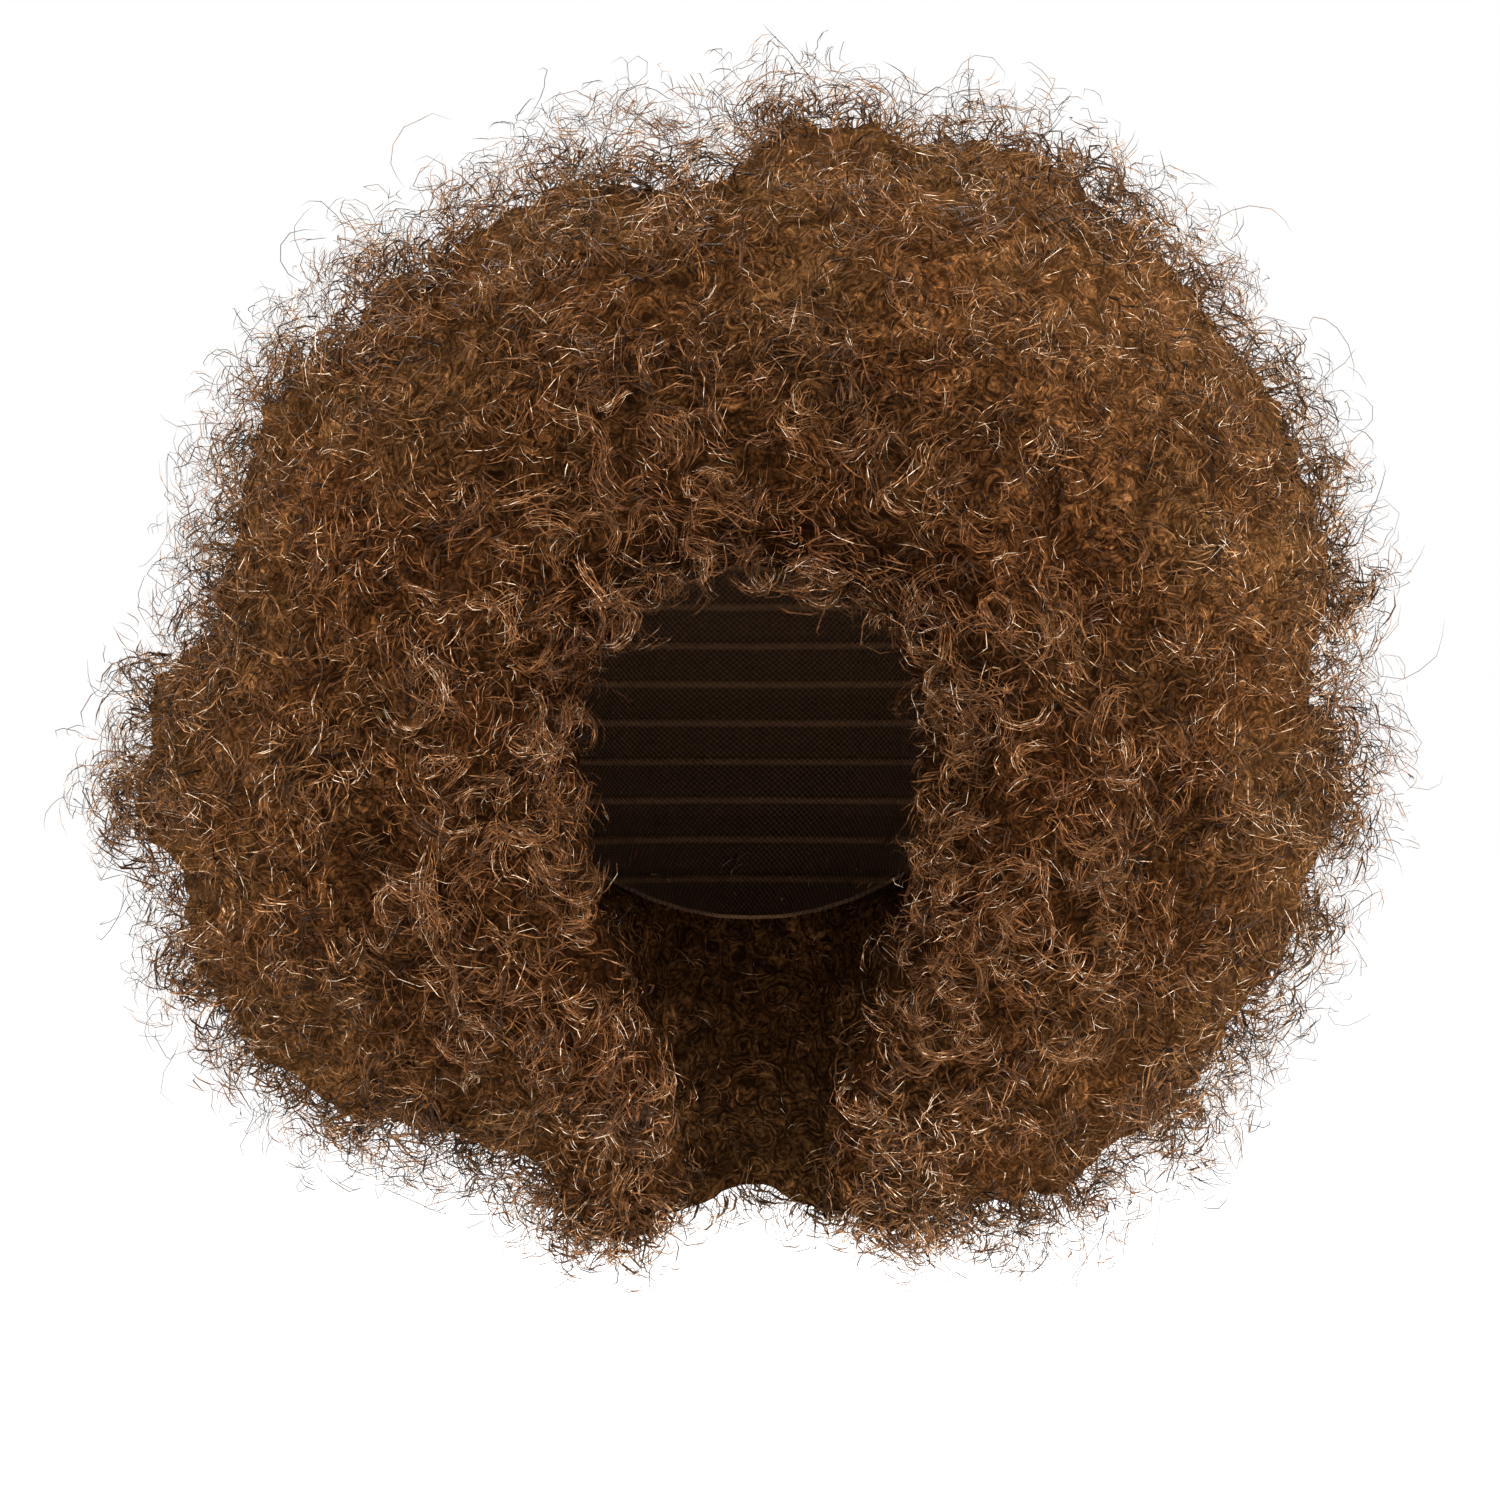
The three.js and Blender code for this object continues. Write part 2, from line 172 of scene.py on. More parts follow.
shape = bmesh.new()
for zone in hair_zones:
    shape.from_mesh(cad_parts[zone].data)
bmesh.ops.remove_doubles(shape, verts=shape.verts, dist=2e-6)
shape.normal_update()
for vertex in shape.verts:
    vertex.co += vertex.normal * zone_swell
joined = bpy.data.meshes.new("hair_mass")
shape.to_mesh(joined)
shape.free()
hair_mass = linked_object("hair_mass", joined)
remesh = hair_mass.modifiers.new("remesh", "REMESH")
remesh.mode = "VOXEL"
remesh.voxel_size = mass_voxel
mass_mesh = as_plain_mesh(hair_mass, remesh)

shape = bmesh.new()
shape.from_mesh(mass_mesh)
for _ in range(3):
    bmesh.ops.smooth_vert(
        shape, verts=shape.verts, factor=0.5, use_axis_x=True, use_axis_y=True, use_axis_z=True,
    )
shape.normal_update()
outline = np.array([v.co for v in shape.verts])
outward = np.array([v.normal for v in shape.verts])
extra_depth = np.zeros(len(outline))
for across, up, width, further, deeper in [
    (-0.030, 0.090, 0.050, -0.004, 0.016),
    (-0.096, 0.071, 0.040, -0.007, 0.002),
    (-0.133, 0.040, 0.050, 0.002, 0.007),
    (-0.200, -0.094, 0.040, -0.011, 0.001),
    (-0.185, -0.044, 0.035, -0.008, 0.002),
    (-0.172, -0.193, 0.040, 0.004, 0.000),
    (-0.095, -0.250, 0.045, -0.004, 0.002),
    (0.075, 0.092, 0.050, -0.003, 0.000),
    (0.190, -0.100, 0.045, -0.004, 0.003),
    (0.145, -0.230, 0.050, 0.003, 0.004),
    (0.100, -0.262, 0.035, 0.004, 0.006),
]:
    near = 1 - smooth_step(0.3 * width, width, np.hypot(outline[:, 0] - across, outline[:, 2] - up))
    outline += outward * (near * further)[:, None]
    extra_depth += near * deeper
from_head = beyond_head(outline)
face_share = by_the_face(outline)
off_head = smooth_step(0.004, 0.022, from_head)
lobes = np.array([noise.noise(Vector(point) / lobe_size) for point in outline])
outline += outward * (lobes * lobe_height * off_head * (1 - 0.5 * face_share))[:, None]
depth = (outer_depth + (opening_depth - outer_depth) * face_share + extra_depth) * off_head
under_hem = smooth_step(-0.1, 0.4, -outward[:, 2]) * smooth_step(0.205, 0.235, -outline[:, 2])
depth = np.maximum(depth, hem_depth * under_hem)
clumps = np.array([clump_height_at(point) for point in outline])
for vertex, point in zip(shape.verts, outline - outward * depth[:, None]):
    vertex.co = point
sunk = [v for v, off in zip(shape.verts, off_head) if off > 0.99]
for _ in range(8):
    bmesh.ops.smooth_vert(shape, verts=sunk, factor=0.5, use_axis_x=True, use_axis_y=True, use_axis_z=True)
shape.normal_update()
for vertex, clump, off in zip(shape.verts, clumps, off_head):
    vertex.co += vertex.normal * (clump - 0.7) * clump_height * off
shape.to_mesh(mass_mesh)
shape.free()
# gap is 1 down in the gaps between the clumps, where the material paints shade. open is 1 where the hair stands clear
# of the head.
mass_mesh.attributes.new("gap", "FLOAT", "POINT").data.foreach_set("value", 1 - clumps)
mass_mesh.attributes.new("open", "FLOAT", "POINT").data.foreach_set("value", smooth_step(0.01, 0.04, from_head))
for polygon in mass_mesh.polygons:
    polygon.use_smooth = True


def hair_colour_group():
    """The fibre's colour from a tone of 0 to 1: redder by the face, and paler and greyer at the outside (painted
    light, as of the white room seen through the thin outer hair) and in random patches. Painted shade darkens it
    around the face and over the brow, and painted light lightens it further out.
    """
    group = bpy.data.node_groups.new("Hair colour", "ShaderNodeTree")
    group.interface.new_socket("Tone", in_out="INPUT", socket_type="NodeSocketFloat")
    group.interface.new_socket("Color", in_out="OUTPUT", socket_type="NodeSocketColor")
    tone = group.nodes.new("NodeGroupInput").outputs["Tone"]
    spot = place(group, "ShaderNodeTexCoord").outputs["Object"]
    away = place(group, "ShaderNodeVectorMath", {0: spot, 1: (0, -0.13, -0.12)}, operation="DISTANCE")
    patches = place(group, "ShaderNodeTexNoise", {"Vector": spot, "Scale": 28.0, "Detail": 2.0})
    # Paler towards the outside: painted light, as of the white room seen through the thin outer hair. The noise adds
    # random patches of the paler colour.
    pale_share = maths(group, "ADD", spread(group, away.outputs["Value"], 0.08, 0.25), -0.5)
    pale_share = maths(group, "MULTIPLY_ADD", patches.outputs["Fac"], 2.0, pale_share)
    pale_share = spread(group, pale_share, 0.0, 1.5)

    def ramp(stops):
        node = place(group, "ShaderNodeValToRGB", {"Fac": tone})
        node.color_ramp.elements[0].position, node.color_ramp.elements[0].color = stops[0]
        node.color_ramp.elements[1].position, node.color_ramp.elements[1].color = stops[-1]
        for position, colour in stops[1:-1]:
            node.color_ramp.elements.new(position).color = colour
        return node.outputs["Color"]

    # The near-white top of each ramp is where the painted glints lie.
    near = ramp([
        (0.0, (0.006, 0.002, 0.0007, 1)),
        (0.35, (0.114, 0.038, 0.011, 1)),
        (0.65, (0.250, 0.093, 0.028, 1)),
        (0.85, (0.410, 0.178, 0.062, 1)),
        (1.0, (0.780, 0.580, 0.400, 1)),
    ])
    far = ramp([
        (0.0, (0.008, 0.0032, 0.0013, 1)),
        (0.35, (0.122, 0.055, 0.0185, 1)),
        (0.65, (0.255, 0.120, 0.045, 1)),
        (0.85, (0.410, 0.220, 0.100, 1)),
        (1.0, (0.800, 0.640, 0.480, 1)),
    ])
    mixed = place(group, "ShaderNodeMix", {"Factor": pale_share}, data_type="RGBA")
    group.links.new(near, mixed.inputs[6])
    group.links.new(far, mixed.inputs[7])
    # Painted shade: darker over the brow and around the face. Painted light: lighter further out from the face.
    brow = place(group, "ShaderNodeVectorMath", {0: spot, 1: (0, -0.12, -0.015)}, operation="DISTANCE")
    painted_shade = maths(
        group, "MULTIPLY", spread(group, brow.outputs["Value"], 0.03, 0.11, 0.87, 1.0),
        spread(group, away.outputs["Value"], 0.09, 0.20, 0.90, 1.12),
    )
    dimmed = place(group, "ShaderNodeVectorMath", {0: mixed.outputs[2], "Scale": painted_shade}, operation="SCALE")
    place(group, "NodeGroupOutput", {"Color": dimmed.outputs["Vector"]})
    return group


def bundles_group():
    """Lays short curved bundles of fine fibres over a tone, each around a scattered middle. Each bundle is painted
    lighter along its crest and darker towards its edges, with painted shade between its fibres and painted glints
    along some of them.
    """
    group = bpy.data.node_groups.new("Fibre bundles", "ShaderNodeTree")
    for name, kind in [
        ("Vector", "NodeSocketVector"), ("Shift", "NodeSocketVector"), ("Curl Size", "NodeSocketFloat"),
        ("Fibre Pitch", "NodeSocketFloat"), ("Everywhere", "NodeSocketFloat"), ("Tone", "NodeSocketFloat"),
    ]:
        group.interface.new_socket(name, in_out="INPUT", socket_type=kind)
    group.interface.new_socket("Tone", in_out="OUTPUT", socket_type="NodeSocketFloat")
    given = group.nodes.new("NodeGroupInput").outputs

    def vectors(operation, first, second=(0, 0, 0)):
        return place(group, "ShaderNodeVectorMath", {0: first, 1: second}, operation=operation).outputs

    moved = vectors("ADD", given["Vector"], given["Shift"])["Vector"]
    scale = maths(group, "DIVIDE", 1.0, given["Curl Size"])
    cells = place(group, "ShaderNodeTexVoronoi", {"Vector": moved, "Scale": scale}).outputs
    out = vectors("SUBTRACT", moved, cells["Position"])["Vector"]
    reach = vectors("LENGTH", out)["Value"]
    share = maths(group, "DIVIDE", reach, given["Curl Size"])
    side = vectors("NORMALIZE", vectors("SUBTRACT", cells["Color"], (0.5, 0.5, 0.5))["Vector"])["Vector"]
    facing = vectors("DOT_PRODUCT", vectors("NORMALIZE", out)["Vector"], side)["Value"]
    band = maths(group, "MULTIPLY", spread(group, share, 0.13, 0.20), spread(group, share, 0.76, 0.64))
    band = maths(group, "MULTIPLY", band, spread(group, facing, -0.15, 0.1))
    band = maths(group, "MAXIMUM", band, given["Everywhere"])
    chance = place(group, "ShaderNodeSeparateColor", {"Color": cells["Color"]}).outputs["Red"]
    along = place(group, "ShaderNodeCombineXYZ", {
        "X": maths(group, "DIVIDE", reach, given["Fibre Pitch"]),
        "Y": maths(group, "MULTIPLY", facing, 1.5),
        "Z": maths(group, "MULTIPLY", chance, 40.0),
    }).outputs["Vector"]
    fibres = place(group, "ShaderNodeTexNoise", {"Vector": along, "Scale": 1.0, "Detail": 2.0}).outputs["Fac"]
    # Painted light and shade: each bundle is lighter along its crest and darker towards its edges as if round, darker
    # between its fibres, and thin painted glints are added where the fibre noise is high.
    from_crest = maths(group, "ABSOLUTE", maths(group, "SUBTRACT", share, 0.44))
    bright = maths(group, "MULTIPLY", spread(group, chance, 0.1, 0.9, 0.32, 0.46), spread(
        group, from_crest, 0.10, 0.30, 1.0, 0.6,
    ))
    bright = maths(group, "MULTIPLY", bright, spread(group, fibres, 0.38, 0.55, 0.08, 1.0))
    bright = maths(group, "ADD", bright, spread(group, fibres, 0.58, 0.70, 0.0, 0.45))
    laid_tone = place(group, "ShaderNodeMix", {0: band, 2: given["Tone"], 3: bright}).outputs[0]
    place(group, "NodeGroupOutput", {"Tone": laid_tone})
    return group


hair_colour = hair_colour_group()
fibre_bundles = bundles_group()
packed_curls, tree, shader = shaded("packed curls")
spot = place(tree, "ShaderNodeTexCoord").outputs["Object"]
bend = place(tree, "ShaderNodeTexNoise", {"Vector": spot, "Scale": 90.0, "Detail": 2.0}).outputs["Color"]
bent = place(
    tree, "ShaderNodeVectorMath", {0: bend, 1: (0.007, 0.007, 0.007), 2: spot}, operation="MULTIPLY_ADD",
).outputs["Vector"]
streaks = place(tree, "ShaderNodeTexNoise", {"Vector": spot, "Scale": 700.0, "Detail": 1.0}).outputs["Fac"]
tone = 0.0
for curl_size, fibre_pitch, everywhere, shift in [
    (0.013, 0.00075, 1.0, (0.0, 0.0, 0.0)),
    (0.010, 0.00065, 0.0, (0.31, 0.17, 0.23)),
    (0.012, 0.00070, 0.0, (0.57, 0.41, 0.11)),
]:
    bundles = place(tree, "ShaderNodeGroup", node_tree=fibre_bundles)
    for name, value in [
        ("Vector", bent), ("Shift", shift), ("Curl Size", curl_size), ("Fibre Pitch", fibre_pitch),
        ("Everywhere", everywhere), ("Tone", tone),
    ]:
        if isinstance(value, bpy.types.NodeSocket):
            tree.links.new(value, bundles.inputs[name])
        else:
            bundles.inputs[name].default_value = value
    tone = bundles.outputs["Tone"]
patches = place(tree, "ShaderNodeTexNoise", {"Vector": spot, "Scale": 60.0, "Detail": 3.0}).outputs["Fac"]
gaps = place(tree, "ShaderNodeAttribute", attribute_name="gap").outputs["Fac"]
tone = maths(tree, "MULTIPLY", tone, spread(tree, patches, 0.35, 0.65, 0.8, 1.2))
tone = maths(tree, "MULTIPLY", tone, spread(tree, streaks, 0.38, 0.54, 0.35, 1.15))
# Painted shade: darker in the gaps between the clumps.
tone = maths(tree, "MULTIPLY", tone, spread(tree, gaps, 0.3, 0.9, 1.0, 0.4))
# Painted shade: darker around the face opening.
away = place(tree, "ShaderNodeVectorMath", {0: spot, 1: (0, -0.13, -0.12)}, operation="DISTANCE").outputs["Value"]
tone = maths(tree, "MULTIPLY", tone, spread(tree, away, 0.08, 0.18, 0.42, 1.0))
in_the_open = place(tree, "ShaderNodeAttribute", attribute_name="open").outputs["Fac"]
hazy = maths(tree, "MULTIPLY", in_the_open, spread(tree, away, 0.13, 0.23, 0.0, 0.3))
tone = place(tree, "ShaderNodeMix", {0: hazy, 2: tone, 3: 0.33}).outputs[0]
# Painted shade: darker where the mass lies close to the head, on its inner surfaces.
tone = maths(tree, "MULTIPLY", tone, spread(tree, in_the_open, 0.0, 1.0, 0.6, 1.0))
lobes = place(tree, "ShaderNodeTexNoise", {"Vector": spot, "Scale": 22.0, "Detail": 2.0}).outputs["Fac"]
tone = maths(tree, "MULTIPLY", tone, spread(tree, lobes, 0.35, 0.65, 0.78, 1.15))
coloured = tree.nodes.new("ShaderNodeGroup")
coloured.node_tree = hair_colour
tree.links.new(tone, coloured.inputs["Tone"])
tree.links.new(coloured.outputs["Color"], shader.inputs["Base Color"])
shader.inputs["Roughness"].default_value = 1.0
shader.inputs["Specular IOR Level"].default_value = 0.0
bump = place(tree, "ShaderNodeBump", {"Height": streaks, "Distance": 0.001, "Strength": 0.7})
tree.links.new(bump.outputs["Normal"], shader.inputs["Normal"])
mass_mesh.materials.clear()
mass_mesh.materials.append(packed_curls)
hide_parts(*hair_zones)
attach(hair_mass, "root")


# The curls: the outer layer of the hair, a zone at a time. Each is a small bundle of crimped fibres
# that was set round a rod and then combed open, and it stands up from the mass to the outline.
fibre, tree, shader = shaded("curled fibre")
coloured = tree.nodes.new("ShaderNodeGroup")
coloured.node_tree = hair_colour
tone = place(tree, "ShaderNodeAttribute", attribute_name="tone").outputs["Fac"]
spot = place(tree, "ShaderNodeTexCoord").outputs["Object"]
# Random lighter and darker stretches along each fibre, which also break its painted glint into short pieces of
# painted highlight.
tone_breaks = place(tree, "ShaderNodeTexNoise", {"Vector": spot, "Scale": 450.0, "Detail": 1.0}).outputs["Fac"]
tone = maths(tree, "MULTIPLY", tone, spread(tree, tone_breaks, 0.40, 0.60, 0.55, 1.30))
tree.links.new(tone, coloured.inputs["Tone"])
tree.links.new(coloured.outputs["Color"], shader.inputs["Base Color"])
shader.inputs["Roughness"].default_value = 0.4
shader.inputs["Specular IOR Level"].default_value = 0.12

curls = bpy.data.node_groups.new("Curls", "GeometryNodeTree")
curl_inputs = {}
for name, kind in [
    ("Geometry", "NodeSocketGeometry"),
    ("Curls per Square Metre", "NodeSocketFloat"),
    ("Fibres per Curl", "NodeSocketInt"),
    ("Bundle Width", "NodeSocketFloat"),
    ("Smallest Radius", "NodeSocketFloat"),
    ("Largest Radius", "NodeSocketFloat"),
    ("Turns", "NodeSocketFloat"),
    ("Segments", "NodeSocketInt"),
    ("Stretch", "NodeSocketFloat"),
    ("Beyond Outline", "NodeSocketFloat"),
    ("Crowding", "NodeSocketFloat"),
    ("Facing Out", "NodeSocketFloat"),
    ("Fibre Radius", "NodeSocketFloat"),
    ("Frizz", "NodeSocketFloat"),
    ("Darkest", "NodeSocketFloat"),
    ("Lightest", "NodeSocketFloat"),
    ("Painted Glint", "NodeSocketFloat"),
    ("Seed", "NodeSocketInt"),
    ("Material", "NodeSocketMaterial"),
]:
    curl_inputs[name] = curls.interface.new_socket(name, in_out="INPUT", socket_type=kind).identifier
curls.interface.new_socket("Geometry", in_out="OUTPUT", socket_type="NodeSocketGeometry")
given = curls.nodes.new("NodeGroupInput").outputs


def chance(kind, low, high, step):
    """A random value for each element, with its own step from the seed."""
    first, second, out = {"FLOAT_VECTOR": (0, 1, 0), "FLOAT": (2, 3, 1), "INT": (4, 5, 2)}[kind]
    inputs = {first: low, second: high, "Seed": maths(curls, "ADD", given["Seed"], step)}
    return place(curls, "FunctionNodeRandomValue", inputs, data_type=kind).outputs[out]


def kept(geometry, name, value, kind="FLOAT"):
    inputs = {"Geometry": geometry, "Name": name, "Value": value}
    return place(curls, "GeometryNodeStoreNamedAttribute", inputs, data_type=kind).outputs["Geometry"]


def recalled(name, kind="FLOAT"):
    return place(curls, "GeometryNodeInputNamedAttribute", {"Name": name}, data_type=kind).outputs["Attribute"]


def vectors(operation, first, second=(0, 0, 0)):
    return place(curls, "ShaderNodeVectorMath", {0: first, 1: second}, operation=operation).outputs["Vector"]


def scaled(vector, by):
    return place(curls, "ShaderNodeVectorMath", {0: vector, "Scale": by}, operation="SCALE").outputs["Vector"]


def moved(geometry, offset):
    return place(curls, "GeometryNodeSetPosition", {"Geometry": geometry, "Offset": offset}).outputs["Geometry"]


def rotation(angles):
    return place(curls, "FunctionNodeEulerToRotation", {"Euler": angles}).outputs["Rotation"]


scattered = place(curls, "GeometryNodeDistributePointsOnFaces", {
    "Mesh": given["Geometry"],
    "Density": maths(curls, "MULTIPLY", recalled("share"), given["Curls per Square Metre"]),
    "Seed": given["Seed"],
}).outputs
up = scattered["Normal"]
anywhere = vectors("NORMALIZE", chance("FLOAT_VECTOR", (-1, -1, -1), (1, 1, 1), 1))
rise = maths(curls, "POWER", chance("FLOAT", 0.0, 1.0, 2), given["Crowding"])
depth_here = recalled("depth")
lift = maths(curls, "ADD", depth_here, given["Beyond Outline"])
lift = maths(curls, "SUBTRACT", maths(curls, "MULTIPLY", lift, rise), depth_here)
points = kept(scattered["Points"], "axis", vectors("ADD", anywhere, scaled(up, given["Facing Out"])), "FLOAT_VECTOR")
points = kept(points, "spin", chance("FLOAT", 0.0, 2 * math.pi, 3))
points = kept(points, "rise", rise)
points = kept(points, "size", chance("FLOAT", given["Smallest Radius"], given["Largest Radius"], 4))
points = kept(points, "kind", chance("INT", 0, 4, 5), "INT")
points = kept(points, "hand", maths(curls, "SIGN", chance("FLOAT", -1.0, 1.0, 6)))
# Painted shade: fibres that lie deeper in the layer get a darker tone.
deep_shade = maths(curls, "MULTIPLY", maths(curls, "SUBTRACT", 1.0, rise), 0.25)
tone = maths(curls, "SUBTRACT", chance("FLOAT", given["Darkest"], given["Lightest"], 7), deep_shade)
points = kept(points, "tone", tone)
points = moved(points, scaled(up, lift))
fibres = place(curls, "GeometryNodeDuplicateElements", {
    "Geometry": points, "Amount": given["Fibres per Curl"],
}, domain="POINT").outputs["Geometry"]
fibres = moved(fibres, scaled(chance("FLOAT_VECTOR", (-1, -1, -1), (1, 1, 1), 8), given["Bundle Width"]))
# Painted glints: a few fibres, mostly in the upper part of the layer, get a near-white tone as if catching the light,
# and are made thinner.
painted_glint = maths(curls, "MULTIPLY", maths(curls, "POWER", chance("FLOAT", 0.0, 1.0, 9), 3.0), given["Painted Glint"])
uneven = maths(curls, "MULTIPLY", chance("FLOAT", -0.2, 0.2, 10), spread(curls, recalled("rise"), 0.0, 0.6, 0.4, 1.0))
painted_glint = maths(curls, "MULTIPLY", painted_glint, spread(curls, recalled("rise"), 0.1, 0.4, 0.2, 1.0))
tone = maths(curls, "ADD", recalled("tone"), maths(curls, "ADD", painted_glint, uneven))
fibres = kept(fibres, "tone", spread(curls, tone, 0.0, 1.0))
width = maths(curls, "MULTIPLY", chance("FLOAT", 0.7, 1.3, 11), spread(curls, recalled("rise"), 0.0, 0.7, 2.4, 0.85))
width = maths(curls, "MULTIPLY", width, spread(curls, painted_glint, 0.1, 0.45, 1.0, 0.55))
fibres = kept(fibres, "width", width)

coil_kinds = curls.nodes.new("GeometryNodeGeometryToInstance")
for turns_share, start, end, stretch_share in [
    (1.0, 1.0, 0.9, 0.7),
    (0.75, 1.25, 1.0, 0.4),
    (1.3, 0.8, 0.65, 1.2),
    (0.9, 0.9, 1.3, 1.0),
    (0.6, 1.5, 1.4, 0.6),
]:
    coil_height = maths(curls, "MULTIPLY", given["Stretch"], stretch_share)
    rotations = maths(curls, "MULTIPLY", given["Turns"], turns_share)
    coil = place(curls, "GeometryNodeCurveSpiral", {
        "Resolution": maths(curls, "DIVIDE", maths(curls, "ADD", given["Segments"], 0.5), rotations),
        "Rotations": rotations,
        "Start Radius": start,
        "End Radius": end,
        "Height": coil_height,
    }).outputs["Curve"]
    halfway = place(curls, "ShaderNodeCombineXYZ", {"Z": maths(curls, "MULTIPLY", coil_height, -0.5)})
    curls.links.new(moved(coil, halfway.outputs["Vector"]), coil_kinds.inputs[0])
spun = rotation(place(curls, "ShaderNodeCombineXYZ", {"Z": recalled("spin")}).outputs["Vector"])
facing = place(curls, "FunctionNodeAlignRotationToVector", {
    "Rotation": spun, "Vector": recalled("axis", "FLOAT_VECTOR"),
}, axis="Z").outputs["Rotation"]
strayed = rotation(chance("FLOAT_VECTOR", (-0.3, -0.3, -0.3), (0.3, 0.3, 0.3), 12))
facing = place(curls, "FunctionNodeRotateRotation", {"Rotation": facing, "Rotate By": strayed}).outputs["Rotation"]
size = maths(curls, "MULTIPLY", recalled("size"), chance("FLOAT", 0.8, 1.2, 13))
handed = maths(curls, "MULTIPLY", size, recalled("hand"))
coils = place(curls, "GeometryNodeInstanceOnPoints", {
    "Points": fibres,
    "Instance": coil_kinds.outputs[0],
    "Pick Instance": True,
    "Instance Index": recalled("kind", "INT"),
    "Rotation": facing,
    "Scale": place(curls, "ShaderNodeCombineXYZ", {"X": size, "Y": size, "Z": handed}).outputs["Vector"],
}).outputs["Instances"]
coils = place(curls, "GeometryNodeRealizeInstances", {"Geometry": coils}).outputs["Geometry"]
where = curls.nodes.new("GeometryNodeInputPosition").outputs["Position"]
wander = place(curls, "ShaderNodeTexNoise", {"Vector": where, "Scale": 110.0, "Detail": 3.0}).outputs["Color"]
coils = moved(coils, scaled(vectors("SUBTRACT", wander, (0.5, 0.5, 0.5)), given["Frizz"]))
along = curls.nodes.new("GeometryNodeSplineParameter").outputs["Factor"]
from_end = maths(curls, "MINIMUM", along, maths(curls, "SUBTRACT", 1.0, along))
thickness = maths(curls, "MULTIPLY", recalled("width"), given["Fibre Radius"])
thickness = maths(curls, "MULTIPLY", thickness, spread(curls, from_end, 0.0, 0.25))
coils = place(curls, "GeometryNodeSetCurveRadius", {"Curve": coils, "Radius": thickness}).outputs["Curve"]
section = place(curls, "GeometryNodeCurvePrimitiveCircle", {"Resolution": 3, "Radius": 1.0}).outputs["Curve"]
tubes = place(curls, "GeometryNodeCurveToMesh", {
    "Curve": coils, "Profile Curve": section, "Scale": thickness,
}).outputs["Mesh"]
tubes = place(curls, "GeometryNodeMergeByDistance", {"Geometry": tubes, "Distance": 1e-6}).outputs["Geometry"]
tubes = place(curls, "GeometryNodeSetShadeSmooth", {"Geometry": tubes}).outputs["Geometry"]
tubes = place(curls, "GeometryNodeRealizeInstances", {"Geometry": tubes}).outputs["Geometry"]
tubes = place(curls, "GeometryNodeSetMaterial", {"Geometry": tubes, "Material": given["Material"]})
place(curls, "NodeGroupOutput", {"Geometry": tubes.outputs["Geometry"]})


def outline_faces(name, shares):
    """The outline of the hair where it has a share of curls, with how deep the mass lies under it."""
    shape = bmesh.new()
    shape.from_mesh(mass_mesh)
    share_layer = shape.verts.layers.float.new("share")
    depth_layer = shape.verts.layers.float.new("depth")
    for vertex, point, share, deep in zip(shape.verts, outline, shares, depth):
        vertex.co = point
        vertex[share_layer] = share
        vertex[depth_layer] = deep
    bare = [face for face in shape.faces if max(v[share_layer] for v in face.verts) <= 0]
    bmesh.ops.delete(shape, geom=bare, context="FACES")
    mesh = bpy.data.meshes.new(name)
    shape.to_mesh(mesh)
    shape.free()
    return mesh


def curled_piece(name, shares, sizes):
    piece = linked_object(name, outline_faces(name, shares))
    modifier = piece.modifiers.new("curls", "NODES")
    modifier.node_group = curls
    for label, value in sizes.items():
        modifier[curl_inputs[label]] = value
    modifier[curl_inputs["Material"]] = fibre
    as_plain_mesh(piece, modifier)
    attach(piece, "root")


bearing = np.degrees(np.arctan2(outline[:, 0], -outline[:, 1]))
from_top = np.degrees(np.arctan2(np.hypot(outline[:, 0], outline[:, 1]), outline[:, 2] - skull_middle[2]))
in_crown = from_top < 37
in_front = ~in_crown & (np.abs(bearing) < 36) & (outline[:, 2] > -0.068)
in_back = ~in_crown & (np.abs(bearing) > 128) & (outline[:, 2] > -0.118)
in_nape = ~in_crown & (np.abs(bearing) > 128) & (outline[:, 2] <= -0.118)
in_side = ~(in_crown | in_front | in_back | in_nape)
on_left = outline[:, 0] > 0
is_high = outline[:, 2] > -0.11
open_hair = smooth_step(0.006, 0.020, from_head)
to_front = smooth_step(0.1, -0.06, outline[:, 1])
tufts = np.array([noise.noise(Vector(point) / 0.018 + Vector((5, 2, 8))) for point in outline])
dense_front = open_hair * (0.75 + 0.25 * to_front) * np.clip(1 + 0.9 * tufts, 0.3, 1.7)
curl_sizes = {
    "Curls per Square Metre": 29000.0,
    "Fibres per Curl": 4,
    "Bundle Width": 0.0030,
    "Smallest Radius": 0.0045,
    "Largest Radius": 0.0100,
    "Turns": 0.27,
    "Segments": 3,
    "Stretch": 0.6,
    "Beyond Outline": 0.001,
    "Crowding": 1.6,
    "Facing Out": 0.9,
    "Fibre Radius": 0.00014,
    "Frizz": 0.006,
    "Darkest": 0.3,
    "Lightest": 0.55,
    "Painted Glint": 0.9,
}
for seed, (name, inside) in enumerate([
    ("curls_crown", in_crown),
    ("curls_front", in_front),
    ("curls_back", in_back),
    ("curls_nape", in_nape),
    ("curls_right_upper", in_side & ~on_left & is_high),
    ("curls_right_lower", in_side & ~on_left & ~is_high),
    ("curls_left_upper", in_side & on_left & is_high),
    ("curls_left_lower", in_side & on_left & ~is_high),
]):
    curled_piece(name, dense_front * inside, {**curl_sizes, "Seed": 10 * seed})


